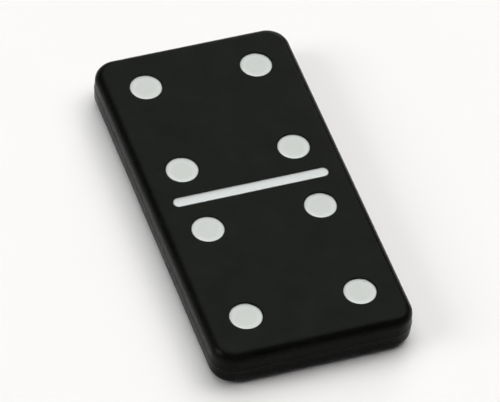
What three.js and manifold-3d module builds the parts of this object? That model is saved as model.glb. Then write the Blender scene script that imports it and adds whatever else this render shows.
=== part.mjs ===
// A double-four domino tile: a solid moulded block with a shallow cup for each pip and a
// groove between its halves, each cup and the groove filled with white enamel.
//
// Millimetres. X runs across the tile, Y along it and Z up out of its face. The origin is
// the middle of the underside, which lies on the table.

import * as THREE from 'three';
import { mergeVertices } from 'three/addons/utils/BufferGeometryUtils.js';
import Module from 'manifold-3d';

const wasm = await Module();
wasm.setup();

// Driving dimensions of the block: a tile is twice as long as it is wide.
const LENGTH = 40;
const WIDTH = LENGTH / 2;
const THICKNESS = 4;
const CORNER_RADIUS = 2.3; // the four corners, seen from above
const EDGE_RADIUS = 1; // the rounding all round the face and the underside

// Driving dimensions of the markings.
const PIP_PITCH = 5.65; // between neighbouring places of a half's grid of three by three
const HALF_CENTRE = 9.6; // from the divider to the middle of that grid
const PIP_RADIUS = 1.57;
const PIP_DEPTH = 0.6;
const PIP_FLOOR_RADIUS = 0.35; // the rounding between a cup's floor and its wall
const DIVIDER_LENGTH = 15.6;
const DIVIDER_WIDTH = 1.1;
const DIVIDER_DEPTH = 0.5;
const PIP_ENAMEL_LEVEL = 0.25; // how far the enamel stops below the tile's face
const DIVIDER_ENAMEL_LEVEL = 0.15;
const ENAMEL_CLEARANCE = 0.02; // between the enamel and the wall of its cup or groove

// How finely round shapes are divided.
const CORNER_DIVISIONS = 5; // a shape's arcs get twice as many
const EDGE_DIVISIONS = 6;
const PIP_DIVISIONS = 32;
const FLOOR_DIVISIONS = 3;
const CUTTER_RISE = 1; // how far a cutter sticks out of the face that it cuts

const PLASTIC = { color: 0x1d1e1c, roughness: 0.42, metalness: 0 };
const ENAMEL = { color: 0xdcddd8, roughness: 0.35, metalness: 0 };

/** The closed solid of a geometry, with its shared corners merged and empty triangles left out. */
function solidOf(geometry) {
  const bare = geometry.clone();
  bare.deleteAttribute('normal');
  bare.deleteAttribute('uv');
  const merged = mergeVertices(bare);
  const corners = merged.index.array;
  const triangles = [];
  for (let first = 0; first < corners.length; first += 3) {
    const [a, b, c] = corners.slice(first, first + 3);
    if (a !== b && b !== c && c !== a) {
      triangles.push(a, b, c);
    }
  }
  return new wasm.Manifold(new wasm.Mesh({
    numProp: 3,
    vertProperties: merged.attributes.position.array,
    triVerts: new Uint32Array(triangles),
  }));
}

/** The geometry of a closed solid. */
function geometryOf(solid) {
  const mesh = solid.getMesh();
  const geometry = new THREE.BufferGeometry();
  geometry.setAttribute('position', new THREE.BufferAttribute(mesh.vertProperties, 3));
  geometry.setIndex(new THREE.BufferAttribute(mesh.triVerts, 1));
  geometry.computeVertexNormals();
  return geometry;
}

/** A rectangle with round corners, centred on the origin. */
function roundedRectangle(width, length, radius) {
  const x = width / 2 - radius;
  const y = length / 2 - radius;
  const shape = new THREE.Shape();
  shape.absarc(x, y, radius, 0, Math.PI / 2);
  shape.absarc(-x, y, radius, Math.PI / 2, Math.PI);
  shape.absarc(-x, -y, radius, Math.PI, 1.5 * Math.PI);
  shape.absarc(x, -y, radius, 1.5 * Math.PI, 2 * Math.PI);
  shape.closePath();
  return shape;
}

/** A bar with round ends along X, centred on the origin. */
function roundEndedBar(length, width) {
  const radius = width / 2;
  const x = length / 2 - radius;
  const shape = new THREE.Shape();
  shape.absarc(x, 0, radius, -Math.PI / 2, Math.PI / 2);
  shape.absarc(-x, 0, radius, Math.PI / 2, 1.5 * Math.PI);
  shape.closePath();
  return shape;
}

/** The block before it is marked: the outline grows and shrinks again through the round edges. */
function plainBlock() {
  const shape = roundedRectangle(
    WIDTH - 2 * EDGE_RADIUS,
    LENGTH - 2 * EDGE_RADIUS,
    CORNER_RADIUS - EDGE_RADIUS,
  );
  const block = new THREE.ExtrudeGeometry(shape, {
    depth: THICKNESS - 2 * EDGE_RADIUS,
    bevelEnabled: true,
    bevelThickness: EDGE_RADIUS,
    bevelSize: EDGE_RADIUS,
    bevelSegments: EDGE_DIVISIONS,
    curveSegments: CORNER_DIVISIONS,
  });
  block.translate(0, 0, EDGE_RADIUS);
  return block;
}

/** A round cup from floor height to top height, with a rounded corner at its floor. */
function cup(radius, floorRadius, floor, top) {
  const profile = [new THREE.Vector2(0, floor)];
  for (let step = 0; step <= FLOOR_DIVISIONS; step += 1) {
    const angle = (step / FLOOR_DIVISIONS) * Math.PI / 2;
    profile.push(new THREE.Vector2(
      radius - floorRadius + floorRadius * Math.sin(angle),
      floor + floorRadius - floorRadius * Math.cos(angle),
    ));
  }
  profile.push(new THREE.Vector2(radius, top));
  profile.push(new THREE.Vector2(0, top));
  return new THREE.LatheGeometry(profile, PIP_DIVISIONS).rotateX(Math.PI / 2);
}

/** A slab with the outline of a bar with round ends. */
function bar(length, width, floor, top) {
  const slab = new THREE.ExtrudeGeometry(roundEndedBar(length, width), {
    depth: top - floor,
    bevelEnabled: false,
    curveSegments: CORNER_DIVISIONS,
  });
  return slab.translate(0, 0, floor);
}

/** Where the eight pips of a double four go: the outer places of each half's grid. */
function pipPlaces() {
  const places = [];
  for (const [half, along] of [['upper', 1], ['lower', -1]]) {
    for (const [row, outward] of [['outer', 1], ['inner', -1]]) {
      for (const [column, across] of [['left', -1], ['right', 1]]) {
        places.push({
          name: `pip_${half}_${row}_${column}`,
          x: across * PIP_PITCH,
          y: along * (HALF_CENTRE + outward * PIP_PITCH),
        });
      }
    }
  }
  return places;
}

/** The moulded block with its cups and its groove cut into the face. */
function tileBody() {
  const pipCutter = cup(PIP_RADIUS, PIP_FLOOR_RADIUS, THICKNESS - PIP_DEPTH, THICKNESS + CUTTER_RISE);
  const groove = bar(DIVIDER_LENGTH, DIVIDER_WIDTH, THICKNESS - DIVIDER_DEPTH, THICKNESS + CUTTER_RISE);
  let body = solidOf(plainBlock()).subtract(solidOf(groove));
  for (const { x, y } of pipPlaces()) {
    body = body.subtract(solidOf(pipCutter.clone().translate(x, y, 0)));
  }
  return geometryOf(body);
}

/** The enamel that fills one cup. */
function pipEnamel() {
  return cup(
    PIP_RADIUS - ENAMEL_CLEARANCE,
    PIP_FLOOR_RADIUS,
    THICKNESS - PIP_DEPTH + ENAMEL_CLEARANCE,
    THICKNESS - PIP_ENAMEL_LEVEL,
  );
}

/** The enamel that fills the groove. */
function dividerEnamel() {
  return bar(
    DIVIDER_LENGTH - 2 * ENAMEL_CLEARANCE,
    DIVIDER_WIDTH - 2 * ENAMEL_CLEARANCE,
    THICKNESS - DIVIDER_DEPTH + ENAMEL_CLEARANCE,
    THICKNESS - DIVIDER_ENAMEL_LEVEL,
  );
}

/** A named piece of the tile in its own material. */
function piece(name, geometry, look) {
  const mesh = new THREE.Mesh(geometry, new THREE.MeshStandardMaterial(look));
  mesh.name = name;
  return mesh;
}

const tile = new THREE.Group();
tile.add(piece('tile_body', tileBody(), PLASTIC));
tile.add(piece('divider_enamel', dividerEnamel(), ENAMEL));
for (const { name, x, y } of pipPlaces()) {
  const pip = piece(name, pipEnamel(), ENAMEL);
  pip.position.set(x, y, 0);
  tile.add(pip);
}

export default tile;
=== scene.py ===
"""A double-four domino tile of black satin plastic, its pips and divider sunk and filled with white
enamel, lying face up on a pale table.

Metres, in the CAD frame: X across the tile, Y along it, Z up out of its face, the table at Z = 0.
"""

import math
import random
from dataclasses import dataclass

import bmesh
import bpy
from mathutils import Matrix, Vector, noise
from mathutils.geometry import delaunay_2d_cdt


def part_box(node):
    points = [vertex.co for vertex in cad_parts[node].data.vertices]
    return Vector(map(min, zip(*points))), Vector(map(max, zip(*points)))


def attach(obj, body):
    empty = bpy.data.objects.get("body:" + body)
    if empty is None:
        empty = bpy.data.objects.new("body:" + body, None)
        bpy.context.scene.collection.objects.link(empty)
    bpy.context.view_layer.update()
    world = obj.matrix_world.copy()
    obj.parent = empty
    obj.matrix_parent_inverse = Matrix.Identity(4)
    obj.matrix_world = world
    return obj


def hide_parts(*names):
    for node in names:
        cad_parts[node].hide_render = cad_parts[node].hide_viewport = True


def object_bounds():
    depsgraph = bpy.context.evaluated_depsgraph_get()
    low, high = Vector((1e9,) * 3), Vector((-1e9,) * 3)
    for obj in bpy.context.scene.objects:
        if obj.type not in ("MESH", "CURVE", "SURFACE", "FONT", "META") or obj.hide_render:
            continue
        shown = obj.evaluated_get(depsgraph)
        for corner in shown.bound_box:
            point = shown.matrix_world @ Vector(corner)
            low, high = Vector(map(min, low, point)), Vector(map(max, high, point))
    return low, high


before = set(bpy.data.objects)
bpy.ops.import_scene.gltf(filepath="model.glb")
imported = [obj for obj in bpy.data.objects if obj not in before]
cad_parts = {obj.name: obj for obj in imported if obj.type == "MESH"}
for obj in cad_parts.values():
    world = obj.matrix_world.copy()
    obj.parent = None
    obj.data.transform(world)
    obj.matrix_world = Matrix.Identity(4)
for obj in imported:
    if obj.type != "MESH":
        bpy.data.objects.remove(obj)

CAD_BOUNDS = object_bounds()

MM = 0.001
QUARTER = math.pi / 2
TINY = 1e-6  # room for rounding errors

# The moulded block. Its length, width and thickness come from the frame.
CORNER_RADIUS = 2.3 * MM
EDGE_RADIUS = 1.0 * MM
DRAFT = 0.025 * MM  # how far the sides lean in from the parting line to the rounded edges
FLASH_HEIGHT = 0.03 * MM  # the thin line that the two mould halves leave round the sides
FLASH_WIDTH = 0.18 * MM
RIM_RADIUS = 0.13 * MM  # the rounding where a cup or the groove meets the face
FLOOR_RADIUS = 0.3 * MM  # the rounding between its wall and its floor
FLAT_MARGIN = 0.1 * MM  # a band of flat next to each rounding, so that the rest shades as flat
FLAT_STEP = 1.0 * MM  # spacing of the points inside a flat
SIDE_RINGS = (0.8, 0.5, 0.2)  # places of rings between the parting line and a rounded edge

# How many steps a rounding or a round corner is made in, and how far apart the points of the straight
# runs between the corners are.
EDGE_STEPS = 14
RIM_STEPS = 6
FLOOR_STEPS = 4
CORNER_STEPS = 20
CUP_STEPS = 18
EJECTOR_STEPS = 12
BLOCK_RUN = 1.2 * MM
CUP_RUN = 0.4 * MM

# The enamel.
CUP_CLEARANCE = 0.02 * MM  # what the CAD leaves between the enamel and its cup
WALL_GAP = 0.004 * MM
MENISCUS_CLIMB = 0.13 * MM  # how far the enamel creeps up its wall
MENISCUS_WIDTH = 0.16 * MM
MENISCUS_UNEVENNESS = 0.2  # share by which that varies round a pool
MENISCUS_WAVES = 1.7  # the larger, the more often it rises and falls on the way round
LEVEL_SPREAD = 0.02 * MM  # how much the pools differ in level
SURFACE_STEP = 0.03 * MM  # between the rings of a surface next to the wall
SURFACE_STEP_GROWTH = 0.25  # how much wider the steps get for each unit of depth
SURFACE_MIDDLE = 0.1 * MM  # the rings stop at about this radius
SEED = 44

# The underside: the round marks of the mould's two ejector pins.
EJECTOR_RADIUS = 1.2 * MM
EJECTOR_DEPTH = 0.03 * MM
EJECTOR_PLACE = 0.66  # as a share of half the length

# The camera, seen from the middle of the tile.
VIEW_AZIMUTH = math.radians(-22.1)
VIEW_ELEVATION = math.radians(47.7)
VIEW_ROLL = math.radians(4.7)
VIEW_DISTANCE = 0.472
LENS = 355.0
SENSOR_WIDTH = 36.0

TABLE_RADIUS = 8.0

# Materials. Colours are linear.
NOISE_RANGE = (0.3, 0.7)  # where nearly all of a noise field lies
REFRACTIVE_INDEX = 1.5  # of the plastic and of the enamel

BLACKS = ((0.0024, 0.0028, 0.0022), (0.0052, 0.0056, 0.0049))  # the two ends of the flow clouds
WORN_BLACK = (0.014, 0.0145, 0.0135)
SATIN_ROUGHNESS = (0.22, 0.36)
EDGE_POLISH = 0.08  # how much roughness handling has taken off the edges
PLASTIC_SPECULAR = 0.049  # fitted to the photo's tones; 0.5 would be a plain plastic
PLASTIC_TINT = (0.94, 1.0, 0.88, 1.0)
CHIP_LIMITS = (0.62, 0.7)  # the noise levels where a chip starts and is full
HAIRLINE_LIMITS = (0.78, 0.84)  # the same for a hairline
HAIRLINE_LENGTH = 6 * MM
HAIRLINE_WIDTH = 0.1 * MM
HAIRLINE_TURNS = (24, -61, -17, 98)  # degrees
HAIRLINE_WEAR = 0.5  # as a share of a chip's

PIP_WHITES_AND_RIM_HIGHLIGHT = ((0.547, 0.554, 0.525), (0.605, 0.615, 0.592))  # settled, and raised along the wall, where the whiter colour is a painted highlight
# the divider's enamel: settled, and whiter along the wall as a painted highlight
DIVIDER_WHITES_AND_RIM_HIGHLIGHT = ((0.605, 0.624, 0.608), (0.62, 0.637, 0.626))
CLOUDED_WHITE = (0.4, 0.42, 0.4)
CLOUDINESS = 0.06
THIN_WHITE = (0.25, 0.26, 0.26)  # where the enamel ends and the black shows through
RIM_HIGHLIGHT_BAND = (0.2, 0.65)  # millimetres from the wall, where the painted rim highlight gives way to the settled enamel
THIN_EDGE = (-0.03, 0.05)  # millimetres from the wall, where the enamel comes to its full cover
EDGE_WANDER = 0.06  # how many millimetres both of those wander
ENAMEL_ROUGHNESS = (0.28, 0.4)

TABLE_PALES = ((0.947, 0.91, 0.905), (0.967, 0.93, 0.925))
TABLE_ROUGHNESS = 0.7
TABLE_SPECULAR = 0.2

# The world.
PANEL_COLOUR = (0.97, 1.0, 1.0)
FAR_TABLE_COLOUR = (1.0, 0.985, 0.97)
FAR_TABLE_STRENGTH = 0.95
WALL_STRENGTH = 0.35
WALL_TOP = 0.35  # the height, as a sine of the elevation, where the walls end
CEILING_STRENGTH = 0.03
HORIZON_BLEND = 0.01  # how far below the horizon, as a sine, the far table is at its full strength


# ---------------------------------------------------------------- outlines and meshes


def on_circle(radius, angle):
    """A point of a circle round the origin."""
    return Vector((radius * math.cos(angle), radius * math.sin(angle)))


@dataclass
class Outline:
    """A rectangle with round corners. It is a bar with round ends where one half size is zero, and a
    circle where both are. The half sizes run from the centre to the middles of the corner arcs."""

    centre: Vector
    half_x: float
    half_y: float
    radius: float
    arc_steps: int
    run_step: float = MM

    def ring(self, grow):
        """The outline moved outwards by grow, as points in order, counter-clockwise."""
        radius = self.radius + grow
        signs = ((1, 1), (-1, 1), (-1, -1), (1, -1))
        middles = [self.centre + Vector((x * self.half_x, y * self.half_y)) for x, y in signs]
        points = []
        for number, middle in enumerate(middles):
            start = number * QUARTER
            for step in range(self.arc_steps):
                points.append(middle + on_circle(radius, start + QUARTER * step / self.arc_steps))
            following = middles[(number + 1) % len(middles)]
            steps = math.ceil((following - middle).length / self.run_step - TINY)
            for step in range(steps):
                points.append(middle.lerp(following, step / steps) + on_circle(radius, start + QUARTER))
        return points

    def depth(self, point):
        """How far inside the outline a point lies; negative outside."""
        offset = point - self.centre
        beyond = Vector((
            max(abs(offset.x) - self.half_x, 0.0),
            max(abs(offset.y) - self.half_y, 0.0),
        ))
        return self.radius - beyond.length


def quarter_round(radius, steps):
    """(out, down) along a quarter circle that starts level and ends upright."""
    turns = [QUARTER * step / steps for step in range(steps + 1)]
    return [(radius * math.sin(turn), radius * (1 - math.cos(turn))) for turn in turns]


def add_ring(mesh, outline, grow, height):
    """A ring of vertices. The height is a number, or a function of the point."""
    return [
        mesh.verts.new((point.x, point.y, height(point) if callable(height) else height))
        for point in outline.ring(grow)
    ]


def loft(mesh, outline, profile):
    """Bands of quads through rings of the outline. A profile is a list of (grow, height)."""
    rings = [add_ring(mesh, outline, grow, height) for grow, height in profile]
    for first, second in zip(rings, rings[1:]):
        for here in range(len(first)):
            after = (here + 1) % len(first)
            mesh.faces.new((first[here], first[after], second[after], second[here]))
    return rings


def points_inside(outline, holes):
    """An even grid of points inside an outline and outside its holes."""
    reach = Vector((outline.half_x + outline.radius, outline.half_y + outline.radius))
    columns = round(2 * reach.x / FLAT_STEP)
    rows = round(2 * reach.y / FLAT_STEP)
    points = []
    for row in range(rows + 1):
        for column in range(columns + 1):
            shares = Vector((2 * column / columns - 1, 2 * row / rows - 1))
            point = outline.centre + shares * reach
            clear = all(hole.depth(point) < -FLAT_STEP / 2 for hole in holes)
            if clear and outline.depth(point) > EDGE_RADIUS + FLAT_STEP / 2:
                points.append(point)
    return points


def fill_flat(mesh, rings, inside, height):
    """Triangles between an outer ring and the rings of its holes, through the points inside."""
    corners = [(vertex, number) for number, ring in enumerate(rings) for vertex in ring]
    places = [vertex.co.xy / MM for vertex, _ in corners] + [point / MM for point in inside]
    edges = []
    start = 0
    for ring in rings:
        edges += [(start + here, start + (here + 1) % len(ring)) for here in range(len(ring))]
        start += len(ring)
    inside_edges = 1
    made, _, faces, origins, _, _ = delaunay_2d_cdt(places, edges, [], inside_edges, TINY)
    vertices = []
    for place, origin in zip(made, origins):
        known = [corners[index] for index in origin if index < len(corners)]
        loose = None if known else mesh.verts.new((place.x * MM, place.y * MM, height))
        vertices.append(known[0] if known else (loose, None))
    holes = range(1, len(rings))
    for face in faces:
        used = {vertices[index][1] for index in face}
        fills_a_hole = len(used) == 1 and used.pop() in holes
        if not fills_a_hole:
            mesh.faces.new([vertices[index][0] for index in face])


def finish_piece(mesh, node, material):
    """Turns a mesh into a smooth piece of the tile that stands for its CAD node."""
    bmesh.ops.recalc_face_normals(mesh, faces=mesh.faces)
    data = bpy.data.meshes.new(node)
    mesh.to_mesh(data)
    mesh.free()
    data.polygons.foreach_set("use_smooth", [True] * len(data.polygons))
    data.materials.append(material)
    piece = bpy.data.objects.new(f"{node}_fine", data)
    bpy.context.scene.collection.objects.link(piece)
    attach(piece, "root")
    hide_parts(node)
    return piece


def keep_values(piece, name, measure):
    """Keeps a number for each vertex, worked out from its place, for the piece's material."""
    data = piece.data
    values = [measure(vertex.co) for vertex in data.vertices]
    data.attributes.new(name, "FLOAT", "POINT").data.foreach_set("value", values)


# ---------------------------------------------------------------- the outlines of this tile


def block_outline():
    """The tile seen from above."""
    low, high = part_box("tile_body")
    half = (high - low).xy / 2
    return Outline(
        centre=((low + high) / 2).xy,
        half_x=half.x - CORNER_RADIUS,
        half_y=half.y - CORNER_RADIUS,
        radius=CORNER_RADIUS,
        arc_steps=CORNER_STEPS,
        run_step=BLOCK_RUN,
    )


def recess_outline(node):
    """The wall of the cup or groove that holds this enamel."""
    low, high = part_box(node)
    half = (high - low).xy / 2
    radius = min(half) + CUP_CLEARANCE
    return Outline(
        centre=((low + high) / 2).xy,
        half_x=half.x + CUP_CLEARANCE - radius,
        half_y=half.y + CUP_CLEARANCE - radius,
        radius=radius,
        arc_steps=CUP_STEPS,
        run_step=CUP_RUN,
    )


def ejector_outlines():
    """The two marks on the underside."""
    low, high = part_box("tile_body")
    place = EJECTOR_PLACE * (high.y - low.y) / 2
    centres = (Vector((0.0, place)), Vector((0.0, -place)))
    return [Outline(centre, 0.0, 0.0, EJECTOR_RADIUS, EJECTOR_STEPS) for centre in centres]


# ---------------------------------------------------------------- the block


def upper_side(half_thickness):
    """(grow, rise) from the flat of the face down to the parting line."""
    profile = [(-EDGE_RADIUS - FLAT_MARGIN, half_thickness)]
    inset = FLASH_HEIGHT + DRAFT
    squeeze = (EDGE_RADIUS - inset) / EDGE_RADIUS
    for out, down in quarter_round(EDGE_RADIUS, EDGE_STEPS):
        profile.append((-EDGE_RADIUS + out * squeeze, half_thickness - down))
    straight = half_thickness - EDGE_RADIUS
    for share in SIDE_RINGS:
        profile.append((-FLASH_HEIGHT - DRAFT * share, straight * share))
    profile.append((-FLASH_HEIGHT, FLASH_WIDTH / 2))
    return profile


def recess_profile(face, floor):
    """(grow, height) from the flat round a recess, down its wall to its floor."""
    profile = [(RIM_RADIUS + FLAT_MARGIN, face)]
    profile += [
        (RIM_RADIUS - out, face - down)
        for out, down in quarter_round(RIM_RADIUS, RIM_STEPS)
    ]
    profile += [
        (-down, floor + FLOOR_RADIUS - out)
        for out, down in quarter_round(FLOOR_RADIUS, FLOOR_STEPS)
    ]
    return profile


def edge_share(point, outline, under, face):
    """1 in the middle of the rounded edges, falling to 0 where they run into the flats."""
    inward = outline.depth(point.xy) / EDGE_RADIUS
    away = min(point.z - under, face - point.z) / EDGE_RADIUS
    return 2 * max(1 - inward, 0.0) * max(1 - away, 0.0)


def ejector_profile(under):
    """(grow, height) from the flat round an ejector mark up to its shallow floor."""
    return [
        (FLAT_MARGIN, under),
        (0.0, under),
        (-EJECTOR_DEPTH, under + EJECTOR_DEPTH),
        (-EJECTOR_DEPTH - FLAT_MARGIN, under + EJECTOR_DEPTH),
    ]


def cut_in(mesh, outline, profile):
    """A hollow let into a flat, closed by its floor. Returns the ring that borders the flat."""
    rings = loft(mesh, outline, profile)
    mesh.faces.new(rings[-1])
    return rings[0]


def make_block(enamels, material):
    """The moulding: rounded flats on both faces, the sides, the recesses and the ejector marks."""
    low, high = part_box("tile_body")
    middle = (high.z + low.z) / 2
    outline = block_outline()
    mesh = bmesh.new()
    upper = upper_side(high.z - middle)
    side = [(grow, middle + rise) for grow, rise in upper]
    side.append((0.0, middle))
    side += [(grow, middle - rise) for grow, rise in reversed(upper)]
    rings = loft(mesh, outline, side)

    recesses = [recess_outline(node) for node in enamels]
    floors = [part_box(node)[0].z - CUP_CLEARANCE for node in enamels]
    rims = [
        cut_in(mesh, recess, recess_profile(high.z, floor))
        for recess, floor in zip(recesses, floors)
    ]
    fill_flat(mesh, [rings[0], *rims], points_inside(outline, recesses), high.z)

    marks = ejector_outlines()
    mark_rims = [cut_in(mesh, mark, ejector_profile(low.z)) for mark in marks]
    fill_flat(mesh, [rings[-1], *mark_rims], points_inside(outline, marks), low.z)

    piece = finish_piece(mesh, "tile_body", material)
    keep_values(piece, "edge", lambda point: edge_share(point, outline, low.z, high.z))


# ---------------------------------------------------------------- the enamel


def pool_surface(outline, level, seed):
    """The height of a pool's surface at a point: level in the middle, with a meniscus up the wall."""
    climb_at = Vector((seed, seed / 2, 0.0))

    def height(point):
        out = (point - outline.centre).normalized()
        uneven = 1 + MENISCUS_UNEVENNESS * noise.noise(climb_at + out.to_3d() * MENISCUS_WAVES)
        climb = MENISCUS_CLIMB * math.exp(-outline.depth(point) / MENISCUS_WIDTH)
        return level + climb * uneven

    return height


def make_enamel(node, material, rng):
    """One pool of enamel, from the floor of its recess up to its surface."""
    low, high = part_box(node)
    outline = recess_outline(node)
    floor = low.z - CUP_CLEARANCE + WALL_GAP
    level = high.z + rng.uniform(-LEVEL_SPREAD, LEVEL_SPREAD)
    surface = pool_surface(outline, level, rng.uniform(0, 100))
    mesh = bmesh.new()
    profile = [
        (-WALL_GAP - down, floor + FLOOR_RADIUS - out)
        for out, down in reversed(quarter_round(FLOOR_RADIUS, FLOOR_STEPS))
    ]
    depth = 0.0
    while depth < outline.radius - SURFACE_MIDDLE:
        profile.append((-WALL_GAP - depth, surface))
        depth += SURFACE_STEP + depth * SURFACE_STEP_GROWTH
    rings = loft(mesh, outline, profile)
    mesh.faces.new(rings[0])
    if outline.half_x > 0:
        mesh.faces.new(rings[-1])
    else:
        tip = mesh.verts.new((outline.centre.x, outline.centre.y, level))
        last = rings[-1]
        for here, vertex in enumerate(last):
            mesh.faces.new((vertex, last[(here + 1) % len(last)], tip))
    piece = finish_piece(mesh, node, material)
    keep_values(piece, "depth", lambda point: outline.depth(point.xy) / MM)


# ---------------------------------------------------------------- materials


def add_node(tree, kind, inputs=None, **settings):
    """A shader node. Inputs are numbers, colours, or outputs of other nodes."""
    node = tree.nodes.new(kind)
    for name, value in settings.items():
        setattr(node, name, value)
    for name, value in (inputs or {}).items():
        if isinstance(value, bpy.types.NodeSocket):
            tree.links.new(value, node.inputs[name])
        else:
            node.inputs[name].default_value = value
    return node


def new_material(name):
    """A material with its node tree, its Principled shader and the place of a point in metres."""
    material = bpy.data.materials.new(name)
    material.use_nodes = True
    tree = material.node_tree
    shader = tree.nodes["Principled BSDF"]
    place = add_node(tree, "ShaderNodeTexCoord").outputs["Object"]
    return material, tree, shader, place


def noise_field(tree, place, size, detail=2.0, roughness=0.5):
    """Noise from 0 to 1 whose blotches are about this size."""
    node = add_node(tree, "ShaderNodeTexNoise", {
        "Vector": place,
        "Scale": 1 / size,
        "Detail": detail,
        "Roughness": roughness,
    })
    return node.outputs["Fac"]


def ranged(tree, value, low, high, to_low, to_high):
    """The value's range low to high, spread over another range and kept inside it."""
    node = add_node(tree, "ShaderNodeMapRange", {
        "Value": value,
        "From Min": low,
        "From Max": high,
        "To Min": to_low,
        "To Max": to_high,
    })
    return node.outputs["Result"]


def mixed(tree, factor, first, second):
    """One colour turning into another."""
    node = add_node(tree, "ShaderNodeMix", data_type="RGBA")
    tree.links.new(factor, node.inputs["Factor"])
    for name, colour in (("A", first), ("B", second)):
        socket = next(s for s in node.inputs if s.name == name and s.type == "RGBA")
        if isinstance(colour, bpy.types.NodeSocket):
            tree.links.new(colour, socket)
        else:
            socket.default_value = (*colour, 1.0)
    return next(s for s in node.outputs if s.type == "RGBA")


def hairlines(tree, place, turn):
    """A few fine straight marks in one direction: noise drawn out long and cut off near its peaks."""
    turned = add_node(tree, "ShaderNodeMapping", {
        "Vector": place,
        "Rotation": (0.0, 0.0, turn),
        "Scale": (HAIRLINE_LENGTH, HAIRLINE_WIDTH, HAIRLINE_LENGTH),
    }, vector_type="TEXTURE")
    field = noise_field(tree, turned.outputs["Vector"], 1.0, detail=1.0)
    return ranged(tree, field, *HAIRLINE_LIMITS, 0.0, 1.0)


def joined(tree, operation, first, second):
    """Two values joined by a math operation."""
    node = add_node(tree, "ShaderNodeMath", {0: first, 1: second}, operation=operation)
    return node.outputs[0]


def bumped(tree, height, distance, strength, normal=None):
    """A bump of this height in metres."""
    inputs = {"Height": height, "Distance": distance, "Strength": strength}
    if normal is not None:
        inputs["Normal"] = normal
    return add_node(tree, "ShaderNodeBump", inputs).outputs["Normal"]


def black_plastic():
    """Satin black moulding: a fine spark-eroded grain, faint flow clouds, a few hairlines, and edges
    that handling has polished and scuffed."""
    material, tree, shader, place = new_material("black_satin_plastic")
    grain = noise_field(tree, place, 0.2 * MM, detail=4.0, roughness=0.6)
    clouds = noise_field(tree, place, 2.6 * MM, detail=4.0)
    flecks = noise_field(tree, place, 0.6 * MM, detail=4.0, roughness=0.7)
    edge = add_node(tree, "ShaderNodeAttribute", attribute_name="edge").outputs["Fac"]
    first_turn, *other_turns = HAIRLINE_TURNS
    lines = hairlines(tree, place, math.radians(first_turn))
    for turn in other_turns:
        lines = joined(tree, "MAXIMUM", lines, hairlines(tree, place, math.radians(turn)))
    chips = noise_field(tree, place, 0.17 * MM, detail=2.0)
    scuffs = joined(tree, "MULTIPLY", ranged(tree, chips, *CHIP_LIMITS, 0.0, 1.0), edge)
    worn = joined(tree, "MAXIMUM", joined(tree, "MULTIPLY", lines, HAIRLINE_WEAR), scuffs)

    flow = ranged(tree, clouds, *NOISE_RANGE, 0.0, 1.0)
    cloudy = mixed(tree, flow, *BLACKS)
    tree.links.new(mixed(tree, worn, cloudy, WORN_BLACK), shader.inputs["Base Color"])

    satin = ranged(tree, flecks, *NOISE_RANGE, *SATIN_ROUGHNESS)
    rubbed = joined(tree, "MULTIPLY", joined(tree, "MULTIPLY", edge, clouds), EDGE_POLISH)
    tree.links.new(joined(tree, "SUBTRACT", satin, rubbed), shader.inputs["Roughness"])

    untouched = joined(tree, "SUBTRACT", 1.0, lines)
    waves = bumped(tree, clouds, distance=0.05 * MM, strength=0.5)
    grained = bumped(tree, grain, distance=0.008 * MM, strength=0.5, normal=waves)
    scratched = bumped(tree, untouched, distance=0.003 * MM, strength=0.5, normal=grained)
    tree.links.new(scratched, shader.inputs["Normal"])
    shader.inputs["IOR"].default_value = REFRACTIVE_INDEX
    shader.inputs["Specular IOR Level"].default_value = PLASTIC_SPECULAR
    shader.inputs["Specular Tint"].default_value = PLASTIC_TINT
    return material


def white_enamel(name, settled, rim):
    """Off-white enamel, smooth and a little cloudy. It has one colour where it settled and a whiter
    band along its wall, which is a painted highlight on the raised rim, and is thin and grey where it
    ends."""
    material, tree, shader, place = new_material(name)
    clouds = noise_field(tree, place, 1.1 * MM, detail=3.0)
    skin = noise_field(tree, place, 0.25 * MM, detail=2.0)
    specks = noise_field(tree, place, 0.08 * MM, detail=1.0)
    depth = add_node(tree, "ShaderNodeAttribute", attribute_name="depth").outputs["Fac"]
    uneven = joined(tree, "MULTIPLY", skin, EDGE_WANDER)
    inward = joined(tree, "SUBTRACT", depth, uneven)

    cloudy = ranged(tree, clouds, *NOISE_RANGE, 0.0, CLOUDINESS)
    patchy = mixed(tree, cloudy, settled, CLOUDED_WHITE)
    # painted highlight: the rim colour whitens the band along the wall
    body = mixed(tree, ranged(tree, inward, *RIM_HIGHLIGHT_BAND, 0.0, 1.0), rim, patchy)
    cover = ranged(tree, inward, *THIN_EDGE, 0.0, 1.0)
    tree.links.new(mixed(tree, cover, THIN_WHITE, body), shader.inputs["Base Color"])

    gloss = ranged(tree, clouds, *NOISE_RANGE, *ENAMEL_ROUGHNESS)
    tree.links.new(gloss, shader.inputs["Roughness"])
    rippled = bumped(tree, skin, distance=0.006 * MM, strength=0.4)
    specked = bumped(tree, specks, distance=0.001 * MM, strength=0.3, normal=rippled)
    tree.links.new(specked, shader.inputs["Normal"])
    shader.inputs["IOR"].default_value = REFRACTIVE_INDEX
    return material


def table_surface():
    """A pale matt table top with a very faint mottle."""
    material, tree, shader, place = new_material("pale_table_top")
    mottle = noise_field(tree, place, 9 * MM, detail=4.0)
    fibre = noise_field(tree, place, 0.4 * MM, detail=3.0)
    colour = mixed(tree, mottle, *TABLE_PALES)
    tree.links.new(colour, shader.inputs["Base Color"])
    rippled = bumped(tree, fibre, distance=0.01 * MM, strength=0.15)
    tree.links.new(rippled, shader.inputs["Normal"])
    shader.inputs["Roughness"].default_value = TABLE_ROUGHNESS
    shader.inputs["Specular IOR Level"].default_value = TABLE_SPECULAR
    return material


# ---------------------------------------------------------------- table, light and camera


def make_table():
    """A wide pale table under the tile."""
    mesh = bmesh.new()
    bmesh.ops.create_circle(mesh, cap_ends=True, segments=96, radius=TABLE_RADIUS)
    data = bpy.data.meshes.new("table")
    mesh.to_mesh(data)
    mesh.free()
    data.materials.append(table_surface())
    table = bpy.data.objects.new("table", data)
    bpy.context.scene.collection.objects.link(table)


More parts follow.
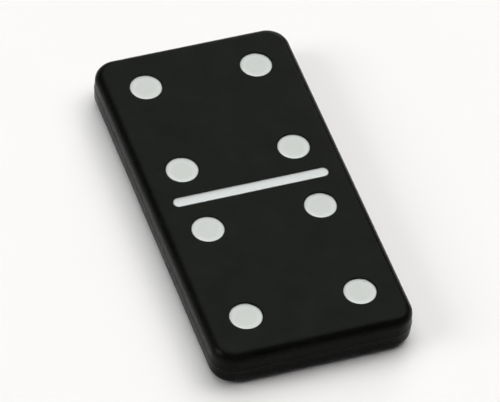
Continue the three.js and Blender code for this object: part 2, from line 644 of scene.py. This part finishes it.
def toward(azimuth, elevation):
    """The direction to a place seen from the tile, with azimuth 0 at -Y and 90 at +X."""
    level = math.cos(elevation)
    return Vector((
        math.sin(azimuth) * level,
        -math.cos(azimuth) * level,
        math.sin(elevation),
    ))


def add_sun(name, azimuth, elevation, angle, strength, colour):
    """A soft distant light, which lights the whole table evenly."""
    light = bpy.data.lights.new(name, "SUN")
    light.angle = math.radians(angle)
    light.energy = strength
    light.color = colour
    sun = bpy.data.objects.new(name, light)
    direction = toward(math.radians(azimuth), math.radians(elevation))
    sun.rotation_mode = "QUATERNION"
    sun.rotation_quaternion = direction.to_track_quat("Z", "Y")
    bpy.context.scene.collection.objects.link(sun)


def soft_panel(tree, place, azimuth, elevation, core, rim, strength):
    """A broad light of the world. It has its full strength within core degrees of its middle, and fades
    to nothing at rim degrees."""
    middle = toward(math.radians(azimuth), math.radians(elevation))
    facing = add_node(tree, "ShaderNodeVectorMath", {0: place, 1: middle}, operation="DOT_PRODUCT")
    low, high = math.cos(math.radians(rim)), math.cos(math.radians(core))
    return ranged(tree, facing.outputs["Value"], low, high, 0.0, strength)


def make_surroundings():
    """A dim studio with a broad soft panel high behind the tile, a smaller one to its left, and grey
    walls all round that get darker upwards. Below the horizon it is as pale as the table, and stands
    in for it where a view cuts the table short."""
    world = bpy.data.worlds.new("studio")
    bpy.context.scene.world = world
    world.use_nodes = True
    tree = world.node_tree
    background = tree.nodes["Background"]
    place = add_node(tree, "ShaderNodeTexCoord").outputs["Generated"]
    overhead = soft_panel(tree, place, azimuth=155, elevation=67, core=14, rim=43, strength=2.6)
    left = soft_panel(tree, place, azimuth=-96, elevation=31, core=7, rim=21, strength=5.0)
    height = add_node(tree, "ShaderNodeSeparateXYZ", {"Vector": place}).outputs["Z"]
    walls = ranged(tree, height, 0.0, WALL_TOP, WALL_STRENGTH, CEILING_STRENGTH)
    below = ranged(tree, height, -HORIZON_BLEND, 0.0, 1.0, 0.0)
    strength = joined(tree, "MULTIPLY", below, FAR_TABLE_STRENGTH)
    for light in (overhead, left, walls):
        strength = joined(tree, "MAXIMUM", strength, light)
    colour = mixed(tree, below, PANEL_COLOUR, FAR_TABLE_COLOUR)
    tree.links.new(colour, background.inputs["Color"])
    tree.links.new(strength, background.inputs["Strength"])


def make_camera():
    """The camera looks at the middle of the tile, slightly rolled."""
    low, high = CAD_BOUNDS
    target = (low + high) / 2
    direction = toward(VIEW_AZIMUTH, VIEW_ELEVATION)
    data = bpy.data.cameras.new("camera")
    data.lens = LENS
    data.sensor_width = SENSOR_WIDTH
    data.clip_start = 0.01
    data.clip_end = 100.0
    camera = bpy.data.objects.new("camera", data)
    roll = Matrix.Rotation(VIEW_ROLL, 4, "Z")
    facing = direction.to_track_quat("Z", "Y").to_matrix().to_4x4()
    camera.matrix_world = Matrix.Translation(target + direction * VIEW_DISTANCE) @ facing @ roll
    bpy.context.scene.collection.objects.link(camera)
    bpy.context.scene.camera = camera


def main():
    """Builds the tile and its surroundings."""
    rng = random.Random(SEED)
    enamels = sorted(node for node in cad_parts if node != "tile_body")
    make_block(enamels, black_plastic())
    pip_enamel = white_enamel("white_pip_enamel", *PIP_WHITES_AND_RIM_HIGHLIGHT)
    divider_enamel = white_enamel("white_divider_enamel", *DIVIDER_WHITES_AND_RIM_HIGHLIGHT)
    for node in enamels:
        make_enamel(node, divider_enamel if node == "divider_enamel" else pip_enamel, rng)
    make_table()
    make_surroundings()
    add_sun("key_light", azimuth=95, elevation=50, angle=32, strength=0.5, colour=(1.0, 0.99, 0.97))
    add_sun("low_light", azimuth=150, elevation=20, angle=26, strength=0.5, colour=(1.0, 1.0, 1.0))
    make_camera()
    bpy.context.scene.view_settings.view_transform = "Standard"


main()
